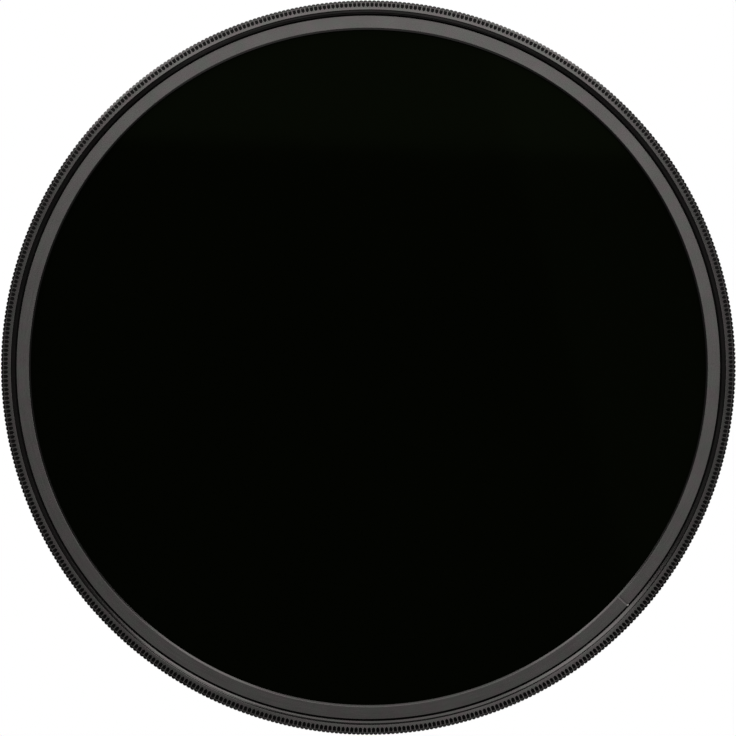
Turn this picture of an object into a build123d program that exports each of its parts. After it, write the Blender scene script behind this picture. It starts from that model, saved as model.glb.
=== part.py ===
from build123d import *
from math import cos, pi, radians, sin, tan
import os

# Polarizing neutral density filter for an 82 mm lens thread.
# It lies on the rear end of its male thread with the front up.
# Z is the optical axis, z = 0 is the rear end, and every length is in millimetres.

# Lens thread, M82 x 0.75, male at the rear and female at the front
thread_radius = 41.0
thread_pitch = 0.75
thread_depth_share = 0.48
thread_entry = 0.3

# Mount ring, which screws into the lens and stays still
boss_height = 2.2
boss_wall = 1.7
flange_height = 2.4
flange_overhang = 1.45
flange_edge_bevel = 0.15
web_thickness = 0.7

# Turning fit between the two rings, and the snap ring that holds them together
skirt_overhang = 0.43
running_clearance = 0.05
end_clearance = 0.1
skirt_lip = 0.25
snap_height = 0.4
snap_reach_out = 0.25
snap_reach_in = 0.2
snap_play = 0.05
snap_groove_depth = 0.9
snap_gap_angle = 8.0

# Glass stack, from the rear to the front
rear_glass_thickness = 1.0
wave_foil_thickness = 0.1
polarizer_foil_thickness = 0.1
front_glass_thickness = 1.1
glass_clearance = 0.1
seat_step = 0.49
ledge_thickness = 1.1
ledge_overlap = 1.1

# Retaining ring, the flat grey band round the glass, and the spigot that fits it in the seat
retaining_thickness = 0.9
retaining_width = 1.645
retaining_bevel = 0.213
retaining_gap = 0.145
spigot_height = 0.3
spigot_clearance = 0.02

# Front ring, which turns with the glass
recess_depth = 1.5
runout_depth = 0.1
runout_rise = 0.1
rim_offset = 0.03
rim_width = 0.33
rim_tilt = 12.0
knurl_teeth = 524
knurl_crest = 0.97
knurl_depth = 0.52
knurl_height = 2.4

# Radii that follow
female_radius = thread_radius - thread_depth_share * thread_pitch
boss_bore_radius = thread_radius - boss_wall
flange_radius = thread_radius + flange_overhang
skirt_radius = thread_radius + skirt_overhang
bearing_radius = skirt_radius + running_clearance
retaining_radius = female_radius - retaining_gap
retaining_bore_radius = retaining_radius - retaining_width
seat_radius = female_radius - seat_step
glass_radius = seat_radius - glass_clearance
ledge_radius = glass_radius - ledge_overlap
rim_radius = thread_radius + rim_offset
crest_radius = thread_radius + knurl_crest
root_radius = crest_radius - knurl_depth

# Heights that follow
web_top = boss_height + web_thickness
flange_top = boss_height + flange_height
skirt_bottom = web_top + end_clearance
lip_top = skirt_bottom + skirt_lip
snap_bottom = lip_top + snap_play
snap_top = snap_bottom + snap_height
glass_bottom = skirt_bottom + ledge_thickness
wave_foil_bottom = glass_bottom + rear_glass_thickness
polarizer_foil_bottom = wave_foil_bottom + wave_foil_thickness
front_glass_bottom = polarizer_foil_bottom + polarizer_foil_thickness
glass_top = front_glass_bottom + front_glass_thickness
retaining_top = glass_top + retaining_thickness
spigot_top = glass_top + spigot_height
thread_bottom = retaining_top + runout_rise
front_top = retaining_top + recess_depth
knurl_bottom = front_top - knurl_height


def turned(points):
    """A ring or disc turned from its half section, given as (radius, height) points."""
    section = make_face(Polyline(*points, close=True))
    return revolve(Plane.XZ * section, Axis.Z)


def knurl_prism(crest, root, teeth, height):
    """A prism whose outline is a ring of V-shaped teeth."""
    step = pi / teeth
    outline = []
    for index in range(2 * teeth):
        radius = root if index % 2 else crest
        outline.append((radius * cos(index * step), radius * sin(index * step)))
    return extrude(make_face(Polyline(*outline, close=True)), amount=height)


def mount_ring():
    """Rear ring: the male lens thread, and the bored flange that the front ring turns in."""
    undercut_radius = bearing_radius + snap_reach_out + snap_play
    return turned([
        (boss_bore_radius, 0),
        (thread_radius - thread_entry, 0),
        (thread_radius, thread_entry),
        (thread_radius, boss_height),
        (flange_radius, boss_height),
        (flange_radius, flange_top - flange_edge_bevel),
        (flange_radius - flange_edge_bevel, flange_top),
        (bearing_radius, flange_top),
        (bearing_radius, snap_top + snap_play),
        (undercut_radius, snap_top + snap_play),
        (undercut_radius, web_top),
        (boss_bore_radius, web_top),
    ])


def front_ring():
    """Turning ring: the female thread, the glass seat and the knurled grip."""
    groove_radius = skirt_radius - snap_groove_depth
    groove_top = snap_top + snap_play
    runout_radius = thread_radius + runout_depth
    land_radius = rim_radius + rim_width
    land_top = front_top - rim_width * tan(radians(rim_tilt))
    blank = turned([
        (ledge_radius, skirt_bottom),
        (skirt_radius, skirt_bottom),
        (skirt_radius, lip_top),
        (groove_radius, lip_top),
        (groove_radius, groove_top),
        (skirt_radius, groove_top),
        (skirt_radius, knurl_bottom),
        (crest_radius, knurl_bottom),
        (crest_radius, land_top),
        (land_radius, land_top),
        (rim_radius, front_top),
        (female_radius, front_top - (rim_radius - female_radius)),
        (female_radius, thread_bottom),
        (runout_radius, thread_bottom),
        (runout_radius, spigot_top),
        (seat_radius, spigot_top),
        (seat_radius, glass_bottom),
        (ledge_radius, glass_bottom),
    ])
    return blank & knurl_prism(crest_radius, root_radius, knurl_teeth, front_top)


def snap_ring():
    """Split spring ring under the mount ring's lip, which reaches into the front ring's groove."""
    section = make_face(Polyline(
        (skirt_radius - snap_reach_in, snap_bottom),
        (bearing_radius + snap_reach_out, snap_bottom),
        (bearing_radius + snap_reach_out, snap_top),
        (skirt_radius - snap_reach_in, snap_top),
        close=True,
    ))
    closed_part = revolve(Plane.XZ * section, Axis.Z, 360 - snap_gap_angle)
    return Rot(0, 0, snap_gap_angle / 2) * closed_part


def retaining_ring():
    """Flat ring over the edge of the glass, with a spigot in the seat and a bevel towards the view."""
    spigot_radius = seat_radius - spigot_clearance
    return turned([
        (retaining_bore_radius, glass_top),
        (spigot_radius, glass_top),
        (spigot_radius, spigot_top),
        (retaining_radius, spigot_top),
        (retaining_radius, retaining_top),
        (retaining_bore_radius + retaining_bevel, retaining_top),
        (retaining_bore_radius, retaining_top - retaining_bevel),
    ])


def stack_disc(bottom, thickness):
    """One round sheet of the glass stack."""
    return Pos(0, 0, bottom) * extrude(Circle(glass_radius), amount=thickness)


parts = {
    "mount_ring": mount_ring(),
    "snap_ring": snap_ring(),
    "front_ring": front_ring(),
    "rear_glass": stack_disc(glass_bottom, rear_glass_thickness),
    "quarter_wave_foil": stack_disc(wave_foil_bottom, wave_foil_thickness),
    "polarizer_foil": stack_disc(polarizer_foil_bottom, polarizer_foil_thickness),
    "front_glass": stack_disc(front_glass_bottom, front_glass_thickness),
    "retaining_ring": retaining_ring(),
}

os.makedirs("parts", exist_ok=True)
for name, shape in parts.items():
    export_step(shape, f"parts/{name}.step")
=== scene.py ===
import bpy
import math
import numpy as np
from mathutils import Matrix, Vector


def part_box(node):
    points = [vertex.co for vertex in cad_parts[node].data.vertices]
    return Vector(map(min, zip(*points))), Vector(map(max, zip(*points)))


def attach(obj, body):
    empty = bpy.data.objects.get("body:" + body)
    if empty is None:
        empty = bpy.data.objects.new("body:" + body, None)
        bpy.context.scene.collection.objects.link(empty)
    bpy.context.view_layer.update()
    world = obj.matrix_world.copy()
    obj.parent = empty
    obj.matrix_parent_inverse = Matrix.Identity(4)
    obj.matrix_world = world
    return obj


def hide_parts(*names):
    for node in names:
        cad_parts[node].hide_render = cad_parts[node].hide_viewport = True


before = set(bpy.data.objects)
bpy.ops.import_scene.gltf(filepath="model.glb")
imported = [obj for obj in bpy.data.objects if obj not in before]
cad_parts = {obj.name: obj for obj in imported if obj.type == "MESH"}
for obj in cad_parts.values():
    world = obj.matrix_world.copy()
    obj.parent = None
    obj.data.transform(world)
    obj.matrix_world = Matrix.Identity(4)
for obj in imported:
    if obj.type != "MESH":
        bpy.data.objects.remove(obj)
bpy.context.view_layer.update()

# Polarizing neutral density filter, seen from the front.
# Lengths are in millimetres and angles in degrees, unless a comment says otherwise.
mm = 0.001
full_turn = 2 * math.pi


def node_span(name):
    """Outer radius, lowest height and highest height of a CAD node."""
    low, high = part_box(name)
    return high.x / mm, low.z / mm, high.z / mm


crest_radius, skirt_bottom, front_top = node_span("front_ring")
flange_radius, rear_end, flange_top = node_span("mount_ring")
retaining_radius, glass_top, retaining_top = node_span("retaining_ring")
glass_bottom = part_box("rear_glass")[0].z / mm

# Lens thread, M82 x 0.75: shares of the pitch give the thread form
thread_radius = 41.0
thread_pitch = 0.75
flank_angle = 30.0
flank_rows = 5
female_depth_share = 0.44
female_crest_share = 0.25
male_depth_share = 0.6134
male_crest_share = 0.125
thread_entry = 0.3
thread_start = 30.0

# Mount ring, and the fine teeth round its flange
boss_height = 2.2
boss_wall = 1.7
web_thickness = 0.7
rear_teeth = 530
rear_tooth_columns = 6
rear_tooth_depth = 0.14
rear_bevel = 0.28
rear_bevel_tilt = 32.0

# Turning fit between the two rings, with the grooves that hold the snap ring
skirt_overhang = 0.43
running_clearance = 0.05
end_clearance = 0.1
skirt_lip = 0.25
groove_height = 0.5
groove_depth = 0.9
undercut_depth = 0.3

# Front ring
seat_radius = 40.15
ledge_radius = 38.95
runout_depth = 0.1
runout_rise = 0.1
rim_radius = 41.07
rim_width = 0.22
rim_tilt = 12.0
rim_step_width = 0.1
rim_step_height = 0.15

# Slots of the front ring: each flank's points are shares of the tooth pitch and of the slot's depth
front_teeth = 524
knurl_height = 2.4
slot_depth = 0.6
slot_flank = ((0.13, 0.0), (0.08, 0.4), (0.17, 0.8))

# Retaining ring
retaining_width = 1.645
retaining_bevel = 0.213
retaining_bevel_height = 0.14
spigot_clearance = 0.02
spigot_height = 0.3
retaining_columns = 720

# Burr at the retaining ring's outer edge, pushed out and down, with bare metal round its middle
burr_angle = -42.5
burr_span = 0.16
burr_size = 0.1
burr_fade = 0.14
burr_droop = 0.5
burr_columns = 24
burr_bare_core = 0.09
burr_bare_reach = 0.15

# Rounding of machined edges, which takes up to this share of the side next to it
edge_round = 0.035
edge_round_share = 1 / 3
edge_round_steps = 2

# Points and angles that agree this closely are one, and faces that meet at less than sharp_angle are smooth
weld = 1e-5
angle_digits = 7
sharp_angle = 8.0

# Radii that follow
female_radius = thread_radius - female_depth_share * thread_pitch
boss_bore = thread_radius - boss_wall
skirt_radius = thread_radius + skirt_overhang
bearing_radius = skirt_radius + running_clearance
undercut_radius = bearing_radius + undercut_depth
groove_radius = skirt_radius - groove_depth
flange_shoulder = flange_radius - rear_bevel
flange_inside = flange_shoulder - rear_bevel
runout_radius = thread_radius + runout_depth
rim_foot_radius = rim_radius - rim_step_width
land_radius = rim_radius + rim_width
retaining_bore = retaining_radius - retaining_width
spigot_radius = seat_radius - spigot_clearance

# Heights that follow
web_top = boss_height + web_thickness
lip_top = web_top + end_clearance + skirt_lip
groove_top = lip_top + groove_height
knurl_bottom = front_top - knurl_height
spigot_top = glass_top + spigot_height
thread_bottom = retaining_top + runout_rise
rim_foot = front_top - rim_step_height
rim_slope = math.tan(math.radians(rim_tilt))
land_top = front_top - rim_width * rim_slope

# Colours: two tones that noise mixes, or one colour
ring_black = ((0.04, 0.038, 0.037), (0.052, 0.0495, 0.0485))
retaining_black = ((0.037, 0.0355, 0.0345), (0.046, 0.044, 0.043))
steel_grey = ((0.34, 0.34, 0.35), (0.5, 0.5, 0.51))
rear_glass_black = ((0.006, 0.007, 0.005), (0.008, 0.009, 0.006))
front_glass_black = ((0.0004, 0.0005, 0.0002), (0.0006, 0.0008, 0.0003))
wave_foil_grey = ((0.04, 0.04, 0.05), (0.055, 0.055, 0.065))
polarizer_foil_grey = ((0.014, 0.014, 0.018), (0.022, 0.022, 0.026))
pink_and_green_cast = ((1.06, 0.96, 1.0), (0.95, 1.03, 0.97))
bare_aluminium = (0.42, 0.4, 0.38)
coating_green = (0.7, 1.0, 0.45)
floor_colour = (0.8, 0.8, 0.8)
white = (1.0, 1.0, 1.0)

# Anodised metal: what its grain adds to its tone, and how its zones of painted shade at the bottom of
# narrow gaps differ
grain_share = 0.4
pore_share = 0.5
roughness_spread = 0.04
painted_gap_shade = (0.35, 0.35, 0.35)
hidden_roughness = 0.85
torn_roughness = 0.7

# Zones at the bottom of narrow gaps, where shade falls, that are painted darker as shade and made dull:
# outer radius, lowest height and highest height
gap_floor_shade_zone = (41.2, 6.5, 7.0)
slot_floor_shade_zone = (42.13, 3.8, 4.7)
no_zone = (0.0, 0.0, 0.0)

# The values between which nearly all fractal noise lies
noise_low = 0.3
noise_high = 0.7

# Lines that drawing leaves in a foil, counted per metre along each axis
draw_lines = (4000, 60, 60)

# Sockets of Blender's Mix node for its factor, its two colours and its result
mix_factor = 0
mix_first = 6
mix_second = 7
mix_result = 2

# Camera: nearly straight above, as far away as the photograph's perspective suggests.
# At the height of view_plane the picture is view_width across.
camera_height = 680.0
view_plane = 4.5
view_width = 85.03
view_place = (-2.4, -7.0)
view_target = (-0.05, -0.115)
sensor_width = 36.0
clip_near = 50.0
clip_far = 20000.0

# Floor, a little below the filter
floor_half = 4000.0
floor_drop = 0.2

# Light: the room's strength, and each lamp's azimuth, elevation, distance, width, height and brightness.
# Their lengths are in metres, azimuth runs counter-clockwise, and a brightness of 1 is white.
room_light = 0.05
lamps = {
    "ceiling": (90, 90, 1.0, 1.5, 1.5, 0.84),
    "back_lamp": (88, 65, 0.8, 0.6, 0.6, 2.7),
    "front_lamp": (290, 61, 0.8, 0.38, 0.3, 1.0),
    "right_lamp": (15, 79, 0.8, 0.2, 0.2, 0.8),
    "right_strip": (61, 22, 0.6, 0.2, 0.5, 4.0),
    "left_strip": (128, 22, 0.6, 0.2, 0.5, 4.0),
    "low_back": (95, 32, 0.6, 0.36, 0.28, 1.6),
    "low_front": (275, 20, 0.6, 0.6, 0.46, 0.4),
}


# Mesh making

def softened(corners, closed=True):
    """Round the corners of an outline of (radius, height) points with short arcs."""
    count = len(corners)
    result = []
    for index, corner in enumerate(corners):
        here = np.array(corner, float)
        if not closed and index in (0, count - 1):
            result.append(here)
            continue
        before = np.array(corners[index - 1]) - here
        after = np.array(corners[(index + 1) % count]) - here
        shorter = min(np.hypot(*before), np.hypot(*after))
        reach = min(edge_round, shorter * edge_round_share)
        start = here + before / np.hypot(*before) * reach
        end = here + after / np.hypot(*after) * reach
        for step in range(edge_round_steps + 1):
            share = step / edge_round_steps
            result.append(start * (1 - share) ** 2 + here * 2 * share * (1 - share) + end * share ** 2)
    return np.array(result)


def turned_rows(outline, angles):
    """Points of an outline at every angle: an array of rows, columns and coordinates."""
    outline = np.asarray(outline, float)
    if outline.ndim == 2:
        outline = np.repeat(outline[:, None, :], len(angles), axis=1)
    radius, height = outline[..., 0], outline[..., 1]
    return np.stack([radius * np.cos(angles), radius * np.sin(angles), height], axis=-1)


def toothed_rows(outline, angles):
    """The same for (radius, height) points of which either can be an array, with a value for each angle."""
    level = np.ones_like(angles)
    rows = [np.stack([radius * level, height * level], axis=-1) for radius, height in outline]
    return turned_rows(rows, angles)


def strips(rows):
    """Quads between neighbouring rows and columns of points."""
    quads = np.stack([rows[:-1, :-1], rows[:-1, 1:], rows[1:, 1:], rows[1:, :-1]], axis=2)
    return quads.reshape(-1, 4, 3)


def joining_band(sparse, dense, ratio):
    """Polygons between a circle of few points and one that has ratio times as many."""
    polygons = []
    for index in range(len(sparse) - 1):
        run = dense[index * ratio:(index + 1) * ratio + 1]
        polygons.append(np.concatenate([sparse[index:index + 2], run[::-1]]))
    return np.array(polygons)


def welded_mesh(name, groups):
    """A mesh from groups of polygons given by their corners, where equal points become one vertex."""
    corners = np.concatenate([group.reshape(-1, 3) for group in groups])
    keys = np.round(corners / weld).astype(np.int64)
    _, first, index = np.unique(keys, axis=0, return_index=True, return_inverse=True)
    index = index.reshape(-1)
    faces = []
    start = 0
    for group in groups:
        count, sides = group.shape[:2]
        block = index[start:start + count * sides].reshape(count, sides)
        faces += [tuple(dict.fromkeys(face)) for face in block.tolist()]
        start += count * sides
    mesh = bpy.data.meshes.new(name)
    mesh.from_pydata((corners[first] * mm).tolist(), [], [face for face in faces if len(face) > 2])
    mesh.validate()
    return mesh


def knurled_ring(name, inner, outer, ratio):
    """A ring with plain rows inside, toothed rows outside and a band that joins them at each end."""
    return welded_mesh(name, [
        strips(inner),
        joining_band(inner[0], outer[0], ratio),
        strips(outer),
        joining_band(inner[-1], outer[-1], ratio),
    ])


def full_circle(count):
    """Angles of a closed ring of columns, which starts and ends where the threads start."""
    start = math.radians(thread_start)
    return np.linspace(start, start + full_turn, count + 1)


def knurl_columns(teeth, shape):
    """Angles and depth shares of a knurl whose teeth repeat the (share of a pitch, depth) shape."""
    pitch = full_turn / teeth
    start = math.radians(thread_start)
    places = np.array([place for place, _ in shape])
    depths = np.array([depth for _, depth in shape])
    angles = (np.arange(teeth)[:, None] + places[None, :]).reshape(-1) * pitch + start
    return np.append(angles, start + full_turn), np.append(np.tile(depths, teeth), depths[0])


def thread_rows(angles, low, high, top_radius, depth, crest_share, limit):
    """Rows that follow a right-hand thread, from its low end to its high end.

    top_radius is the radius at the thread's crest and depth leads from there to its root.
    limit(radius, height) trims the thread where a chamfer has cut it away.
    """
    flank_share = abs(depth) / thread_pitch * math.tan(math.radians(flank_angle))
    root_share = 1 - crest_share - 2 * flank_share
    knots = np.array([0, crest_share, crest_share + flank_share, 1 - flank_share, 1])
    levels = np.array([0, 0, 1, 1, 0])
    phases = np.concatenate([
        [0],
        np.linspace(knots[1], knots[2], flank_rows),
        [knots[2] + root_share / 2],
        np.linspace(knots[3], knots[4], flank_rows)[:-1],
    ])
    turns = (angles - math.radians(thread_start)) / full_turn
    first = -2
    last = math.ceil((high - low) / thread_pitch) + 1
    steps = np.concatenate([phases + turn for turn in range(first, last)])
    height = np.clip(low + thread_pitch * (steps[:, None] + turns[None, :]), low, high)
    phase = ((height - low) / thread_pitch - turns[None, :]) % 1.0
    radius = top_radius + depth * np.interp(phase, knots, levels)
    return turned_rows(np.stack([limit(radius, height), height], axis=-1), angles)


# Front ring

def front_rim(angles):
    """The rim's rounded inner edge, between the slotted land and the step down to the thread."""
    return turned_rows(softened([
        (land_radius, land_top),
        (rim_radius, front_top),
        (rim_foot_radius, rim_foot),
    ], closed=False)[1:-1], angles)


def front_thread(angles):
    """Female thread, from its lead-in cone down to the run-out groove."""
    cone_bottom = rim_foot - (rim_foot_radius - female_radius)

    def cone(radius, height):
        return np.maximum(radius, female_radius + np.maximum(height - cone_bottom, 0))

    depth = female_depth_share * thread_pitch
    return thread_rows(
        angles, thread_bottom, rim_foot, female_radius, depth, female_crest_share, cone,
    )[::-1]


def front_seat(angles):
    """Run-out groove, glass seat, ledge, and the skirt with its groove for the snap ring."""
    return turned_rows(softened([
        (female_radius, thread_bottom),
        (runout_radius, thread_bottom),
        (runout_radius, spigot_top),
        (seat_radius, spigot_top),
        (seat_radius, glass_bottom),
        (ledge_radius, glass_bottom),
        (ledge_radius, skirt_bottom),
        (skirt_radius, skirt_bottom),
        (skirt_radius, lip_top),
        (groove_radius, lip_top),
        (groove_radius, groove_top),
        (skirt_radius, groove_top),
        (skirt_radius, (groove_top + knurl_bottom) / 2),
    ], closed=False)[1:], angles)


def front_grip(angles, depths):
    """The slotted land of the rim, the wall of the grip and its underside."""
    wall = crest_radius - depths * slot_depth

    def land_height(radius):
        return land_top - (radius - land_radius) * rim_slope

    return toothed_rows([
        (land_radius, land_top),
        (wall - edge_round, land_height(wall - edge_round)),
        (wall, land_height(wall) - edge_round),
        (wall, knurl_bottom + edge_round),
        (wall - edge_round, knurl_bottom),
        (skirt_radius, knurl_bottom),
    ], angles)


def front_ring_mesh():
    """Turning ring: tilted rim, female thread, glass seat and slotted grip."""
    other_flank = [(1 - place, depth) for place, depth in reversed(slot_flank)]
    slot = [(0.0, 0.0), *slot_flank, (0.5, 1.0), *other_flank]
    columns = full_circle(front_teeth)
    inner = np.concatenate([front_rim(columns), front_thread(columns), front_seat(columns)])
    outer = front_grip(*knurl_columns(front_teeth, slot))
    return knurled_ring("front_ring_detail", inner, outer, len(slot))


# Mount ring

def mount_bore(angles):
    """The flange's bore with its undercut for the snap ring, the web and the boss's bore."""
    return turned_rows(softened([
        (flange_inside, flange_top),
        (bearing_radius, flange_top),
        (bearing_radius, groove_top),
        (undercut_radius, groove_top),
        (undercut_radius, web_top),
        (boss_bore, web_top),
        (boss_bore, rear_end),
        (thread_radius - thread_entry, rear_end),
    ], closed=False)[1:-1], angles)


def mount_thread(angles):
    """Male thread, chamfered at the rear end."""
    def chamfer(radius, height):
        return np.minimum(radius, thread_radius - np.maximum(thread_entry - height, 0))

    depth = male_depth_share * thread_pitch
    return thread_rows(angles, rear_end, boss_height, thread_radius, -depth, male_crest_share, chamfer)


def mount_edge(angles, depths):
    """The flange's toothed edge, bevelled at its top and bottom."""
    wall = flange_radius - depths * rear_tooth_depth
    drop = (wall - flange_shoulder) * math.tan(math.radians(rear_bevel_tilt))
    return toothed_rows([
        (flange_inside, flange_top),
        (flange_shoulder, flange_top),
        (wall, flange_top - drop),
        (wall, boss_height + drop),
        (flange_shoulder, boss_height),
        (flange_inside, boss_height),
    ], angles)


def mount_ring_mesh():
    """Rear ring: bored flange, male thread and fine teeth with round crests and narrow grooves."""
    places = np.arange(rear_tooth_columns) / rear_tooth_columns
    tooth = [(place, 1 - math.sqrt(abs(math.cos(math.pi * place)))) for place in places]
    columns = full_circle(rear_teeth)
    inner = np.concatenate([mount_bore(columns), mount_thread(columns)])
    outer = mount_edge(*knurl_columns(rear_teeth, tooth))
    return knurled_ring("mount_ring_detail", inner, outer, rear_tooth_columns)


# Retaining ring

def retaining_circle(start, reach):
    """Angles of a closed ring of columns, which stand closer together near the burr at its start."""
    around = np.linspace(start, start + full_turn, retaining_columns, endpoint=False)
    close = start + np.linspace(-2 * reach, 2 * reach, burr_columns)
    angles = np.unique(np.round(np.concatenate([around, close, close + full_turn]), angle_digits))
    angles = angles[(angles >= start) & (angles < start + full_turn)]
    return np.append(angles, angles[0] + full_turn)


def retaining_ring_mesh():
    """Flat ring round the glass, with a small burr on its outer edge."""
    burr = math.radians(burr_angle)
    reach = burr_span / retaining_radius
    angles = retaining_circle(burr, reach)
    outline = softened([
        (retaining_bore, glass_top),
        (spigot_radius, glass_top),
        (spigot_radius, spigot_top),
        (retaining_radius, spigot_top),
        (retaining_radius, retaining_top),
        (retaining_bore + retaining_bevel, retaining_top),
        (retaining_bore, retaining_top - retaining_bevel_height),
    ])
    outline = np.append(outline, outline[:1], axis=0)
    profile = np.repeat(outline[:, None, :], len(angles), axis=1)
    away = np.angle(np.exp(1j * (angles - burr))) / reach
    bulge = burr_size * np.clip(1 - away ** 2, 0, 1)
    from_edge = np.hypot(profile[..., 0] - retaining_radius, profile[..., 1] - retaining_top)
    push = bulge[None, :] * np.clip(1 - from_edge / burr_fade, 0, 1)
    profile[..., 0] += push
    profile[..., 1] -= push * burr_droop
    return welded_mesh("retaining_ring_detail", [strips(turned_rows(profile, angles))])


# Material nodes

def new_material(name):
    """A new material, its node tree and its surface shader."""
    material = bpy.data.materials.new(name)
    material.use_nodes = True
    return material, material.node_tree, material.node_tree.nodes["Principled BSDF"]


def add_node(tree, kind, inputs, **settings):
    """Add a node, set its options and fill its inputs with values or with other nodes' sockets."""
    made = tree.nodes.new(kind)
    for key, value in settings.items():
        setattr(made, key, value)
    for key, value in inputs.items():
        if isinstance(value, bpy.types.NodeSocket):
            tree.links.new(value, made.inputs[key])
        else:
            made.inputs[key].default_value = value
    return made


def math_node(tree, operation, first, second):
    """A single arithmetic step."""
    return add_node(tree, "ShaderNodeMath", {0: first, 1: second}, operation=operation).outputs[0]


def times(tree, first, second):
    """The product of two numbers."""
    return math_node(tree, "MULTIPLY", first, second)


def surface_place(tree):
    """The point that is shaded, in metres."""
    return add_node(tree, "ShaderNodeTexCoord", {}).outputs["Object"]


def stretched(tree, vector, factors):
    """A vector whose parts are each multiplied by a factor of their own."""
    return add_node(tree, "ShaderNodeVectorMath", {0: vector, 1: factors}, operation="MULTIPLY").outputs[0]


def round_axis(tree, place):
    """A point's distance from the optical axis, its height and its angle round the axis in radians."""
    parts = add_node(tree, "ShaderNodeSeparateXYZ", {0: place}).outputs
    flat = stretched(tree, place, (1, 1, 0))
    radius = add_node(tree, "ShaderNodeVectorMath", {0: flat}, operation="LENGTH").outputs["Value"]
    return radius, parts["Z"], math_node(tree, "ARCTAN2", parts["Y"], parts["X"])


def turning_vector(tree, position, across, along):
    """Coordinates that run round the optical axis, from what round_axis gives.

    across counts grain lines per millimetre of radius or height, and along per radian of turn.
    """
    radius, height, angle = position
    return add_node(tree, "ShaderNodeCombineXYZ", {
        "X": times(tree, radius, across / mm),
        "Y": times(tree, height, across / mm),
        "Z": times(tree, angle, along),
    }).outputs[0]


def covered(tree, position, outer_radius, low, high):
    """1 inside a radius and between two heights, and 0 elsewhere."""
    radius, height, _ = position
    inside = math_node(tree, "LESS_THAN", radius, outer_radius * mm)
    above = math_node(tree, "GREATER_THAN", height, low * mm)
    below = math_node(tree, "LESS_THAN", height, high * mm)
    return times(tree, times(tree, inside, above), below)


def noise(tree, vector, scale, detail=2.0, roughness=0.5):
    """Fractal noise, as a factor from 0 to 1."""
    return add_node(tree, "ShaderNodeTexNoise", {
        "Vector": vector, "Scale": scale, "Detail": detail, "Roughness": roughness,
    }).outputs["Fac"]


def spread(tree, factor, low, high):
    """Stretch a noise factor between two values."""
    return add_node(tree, "ShaderNodeMapRange", {
        "Value": factor, "From Min": noise_low, "From Max": noise_high, "To Min": low, "To Max": high,
    }).outputs[0]


def mixed(tree, factor, first, second, blend_type="MIX"):
    """Two colours mixed by a factor."""
    inputs = {mix_factor: factor, mix_first: first, mix_second: second}
    made = add_node(tree, "ShaderNodeMix", inputs, data_type="RGBA", blend_type=blend_type)
    return made.outputs[mix_result]


def tint(tree, factor, first, second):
    """A colour between two given ones."""
    return mixed(tree, factor, (*first, 1), (*second, 1))


def multiplied(tree, first, second):
    """The product of two colours."""
    return mixed(tree, 1.0, first, second, "MULTIPLY")


def hue_drift(tree, colour, place):
    """Let a colour drift a little between pink and green, as dyed anodising does."""
    drift = spread(tree, noise(tree, place, scale=700.0, detail=1.0), 0.0, 1.0)
    return multiplied(tree, colour, tint(tree, drift, *pink_and_green_cast))


def finish(tree, shader, colour, roughness, relief, strength, relief_height):
    """Give a shader its colour, its roughness and a relief of the given height."""
    inputs = {"Strength": strength, "Distance": relief_height * mm, "Height": relief}
    bump = add_node(tree, "ShaderNodeBump", inputs)
    tree.links.new(colour, shader.inputs["Base Color"])
    tree.links.new(roughness, shader.inputs["Roughness"])
    tree.links.new(bump.outputs[0], shader.inputs["Normal"])


# Materials

def anodised(name, tones, roughness, grain_height, painted_shade_zone):
    """Black-anodised aluminium with turning marks and uneven dye, dull and with painted shade in a zone at
    the bottom of a narrow gap.
    """
    material, tree, shader = new_material(name)
    place = surface_place(tree)
    position = round_axis(tree, place)
    marks = turning_vector(tree, position, across=14.0, along=9.0)
    grain = noise(tree, marks, scale=1.0, detail=3.0, roughness=0.6)
    dye = noise(tree, place, scale=260.0, detail=4.0)
    pores = noise(tree, place, scale=24000.0)
    painted_shade_mask = covered(tree, position, *painted_shade_zone)

    shade = math_node(tree, "ADD", times(tree, grain, grain_share), times(tree, dye, 1 - grain_share))
    dyed = tint(tree, spread(tree, shade, 0.0, 1.0), *tones)
    # Painted shade: the colour is darkened in the zone at the bottom of narrow gaps, where shade falls, and
    # the same zone is made dull.
    colour = multiplied(tree, hue_drift(tree, dyed, place), tint(tree, painted_shade_mask, white, painted_gap_shade))
    polish = spread(tree, grain, roughness - roughness_spread, roughness + roughness_spread)
    dulled = math_node(tree, "MAXIMUM", polish, times(tree, painted_shade_mask, hidden_roughness))
    relief = math_node(tree, "ADD", grain, times(tree, pores, pore_share))
    finish(tree, shader, colour, dulled, relief, strength=0.6, relief_height=grain_height)
    shader.inputs["Metallic"].default_value = 0.9
    return material


def retaining_metal():
    """The same anodising, with bare and torn metal at the burr."""
    material = anodised(
        "retaining_anodised", retaining_black, roughness=0.22, grain_height=0.0015, painted_shade_zone=no_zone,
    )
    tree = material.node_tree
    shader = tree.nodes["Principled BSDF"]
    angle = math.radians(burr_angle)
    reach = retaining_radius + burr_size / 2
    spot = Vector((math.cos(angle) * reach, math.sin(angle) * reach, retaining_top)) * mm
    inputs = {0: surface_place(tree), 1: spot}
    away = add_node(tree, "ShaderNodeVectorMath", inputs, operation="DISTANCE").outputs["Value"]
    bare = add_node(tree, "ShaderNodeMapRange", {
        "Value": away,
        "From Min": burr_bare_core * mm,
        "From Max": burr_bare_reach * mm,
        "To Min": 1.0,
        "To Max": 0.0,
    }).outputs[0]
    dyed = shader.inputs["Base Color"].links[0].from_socket
    polish = shader.inputs["Roughness"].links[0].from_socket
    torn = math_node(tree, "MAXIMUM", polish, times(tree, bare, torn_roughness))
    tree.links.new(mixed(tree, bare, dyed, (*bare_aluminium, 1)), shader.inputs["Base Color"])
    tree.links.new(torn, shader.inputs["Roughness"])
    return material


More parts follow.
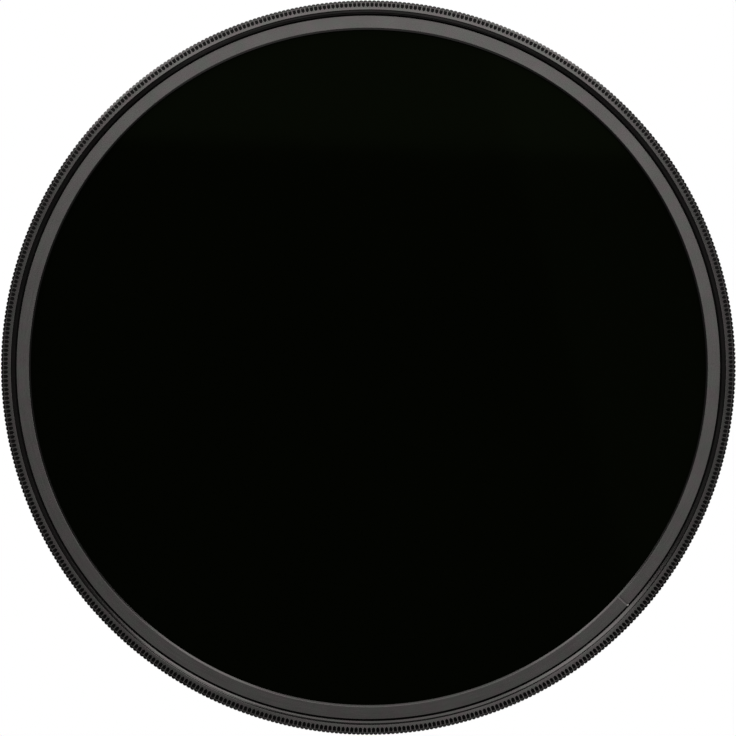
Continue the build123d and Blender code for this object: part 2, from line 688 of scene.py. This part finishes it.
def spring_steel():
    """Drawn spring wire with fine lines along it."""
    material, tree, shader = new_material("spring_steel")
    position = round_axis(tree, surface_place(tree))
    lines = noise(tree, turning_vector(tree, position, across=30.0, along=4.0), scale=1.0, detail=3.0)
    polish = spread(tree, lines, low=0.25, high=0.4)
    finish(tree, shader, tint(tree, lines, *steel_grey), polish, lines, strength=0.3, relief_height=0.003)
    shader.inputs["Metallic"].default_value = 1.0
    return material


def coated_glass(name, tones):
    """Polished dark glass whose coating leaves a faint green reflection."""
    material, tree, shader = new_material(name)
    place = surface_place(tree)
    haze = noise(tree, place, scale=40.0, detail=3.0)
    ripple = noise(tree, place, scale=9000.0)
    polish = spread(tree, haze, low=0.03, high=0.045)
    finish(tree, shader, tint(tree, haze, *tones), polish, ripple, strength=0.02, relief_height=0.0005)
    shader.inputs["IOR"].default_value = 1.52
    shader.inputs["Specular IOR Level"].default_value = 0.006
    shader.inputs["Specular Tint"].default_value = (*coating_green, 1)
    return material


def foil(name, tones):
    """Stretched plastic film with faint parallel draw lines."""
    material, tree, shader = new_material(name)
    lines = noise(tree, stretched(tree, surface_place(tree), draw_lines), scale=1.0, detail=3.0)
    polish = spread(tree, lines, low=0.18, high=0.26)
    finish(tree, shader, tint(tree, lines, *tones), polish, lines, strength=0.1, relief_height=0.001)
    return material


# Pieces, and the CAD nodes that keep their shape

def add_piece(name, mesh, node, body, material):
    """Put a finished mesh in the scene in place of a CAD node."""
    mesh.polygons.foreach_set("use_smooth", [True] * len(mesh.polygons))
    mesh.set_sharp_from_angle(angle=math.radians(sharp_angle))
    mesh.materials.append(material)
    piece = bpy.data.objects.new(name, mesh)
    bpy.context.scene.collection.objects.link(piece)
    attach(piece, body)
    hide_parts(node)


def dress_node(name, material):
    """Give a CAD node that keeps its shape a finished material."""
    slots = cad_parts[name].data.materials
    slots.clear()
    slots.append(material)


# Stage, light and camera

def floor():
    """A wide white floor, which the camera and every reflection see as plain white."""
    corners = [(-1, -1, 0), (1, -1, 0), (1, 1, 0), (-1, 1, 0)]
    mesh = bpy.data.meshes.new("floor")
    mesh.from_pydata([Vector(corner) * floor_half * mm for corner in corners], [], [(0, 1, 2, 3)])
    material, tree, shader = new_material("floor_white")
    shader.inputs["Base Color"].default_value = (*floor_colour, 1)
    shader.inputs["Roughness"].default_value = 0.9
    rays = add_node(tree, "ShaderNodeLightPath", {}).outputs
    seen = math_node(tree, "MAXIMUM", rays["Is Camera Ray"], rays["Is Glossy Ray"])
    seen = math_node(tree, "MAXIMUM", seen, rays["Is Transmission Ray"])
    glow = add_node(tree, "ShaderNodeEmission", {"Color": (*white, 1), "Strength": 1.0})
    both = add_node(tree, "ShaderNodeMixShader", {0: seen, 1: shader.outputs[0], 2: glow.outputs[0]})
    tree.links.new(both.outputs[0], tree.nodes["Material Output"].inputs["Surface"])
    mesh.materials.append(material)
    plane = bpy.data.objects.new("floor", mesh)
    plane.location.z = -floor_drop * mm
    bpy.context.scene.collection.objects.link(plane)


def lamp(name, azimuth, elevation, distance, width, height, brightness):
    """A soft lamp that points at the filter."""
    light = bpy.data.lights.new(name, "AREA")
    light.shape = "RECTANGLE"
    light.size = width
    light.size_y = height
    light.energy = brightness * math.pi * width * height
    lamp_object = bpy.data.objects.new(name, light)
    turn = math.radians(azimuth)
    lift = math.radians(elevation)
    place = Vector((math.cos(turn) * math.cos(lift), math.sin(turn) * math.cos(lift), math.sin(lift)))
    lamp_object.location = place * distance
    lamp_object.rotation_euler = place.to_track_quat("Z", "Y").to_euler()
    lamp_object.visible_camera = False
    bpy.context.scene.collection.objects.link(lamp_object)


def studio():
    """A dim room with soft lamps round the filter."""
    world = bpy.data.worlds.new("studio")
    world.use_nodes = True
    room = world.node_tree.nodes["Background"]
    room.inputs["Color"].default_value = (*white, 1)
    room.inputs["Strength"].default_value = room_light
    bpy.context.scene.world = world
    for name, settings in lamps.items():
        lamp(name, *settings)


def camera():
    """Above the filter and a little to its lower left, framed as in the photograph."""
    data = bpy.data.cameras.new("camera")
    data.sensor_width = sensor_width
    data.lens = sensor_width * (camera_height - view_plane) / view_width
    data.clip_start = clip_near * mm
    data.clip_end = clip_far * mm
    view = bpy.data.objects.new("camera", data)
    place = Vector((*view_place, camera_height)) * mm
    target = Vector((*view_target, front_top)) * mm
    back = (place - target).normalized()
    right = Vector((0, 1, 0)).cross(back).normalized()
    view.location = place
    view.rotation_euler = Matrix((right, back.cross(right), back)).transposed().to_euler()
    bpy.context.scene.collection.objects.link(view)
    bpy.context.scene.camera = view


front_metal = anodised(
    "front_anodised", ring_black, roughness=0.22, grain_height=0.002, painted_shade_zone=gap_floor_shade_zone,
)
mount_metal = anodised(
    "mount_anodised", ring_black, roughness=0.24, grain_height=0.002, painted_shade_zone=slot_floor_shade_zone,
)
retainer_metal = retaining_metal()
retainer = retaining_ring_mesh()

add_piece("front_ring_detail", front_ring_mesh(), "front_ring", "rotor", front_metal)
add_piece("mount_ring_detail", mount_ring_mesh(), "mount_ring", "mount", mount_metal)
add_piece("retaining_ring_detail", retainer, "retaining_ring", "rotor", retainer_metal)

dress_node("snap_ring", spring_steel())
dress_node("rear_glass", coated_glass("rear_glass_coated", rear_glass_black))
dress_node("front_glass", coated_glass("front_glass_coated", front_glass_black))
dress_node("quarter_wave_foil", foil("quarter_wave_film", wave_foil_grey))
dress_node("polarizer_foil", foil("polarizer_film", polarizer_foil_grey))

floor()
studio()
camera()
bpy.context.scene.view_settings.view_transform = "Standard"
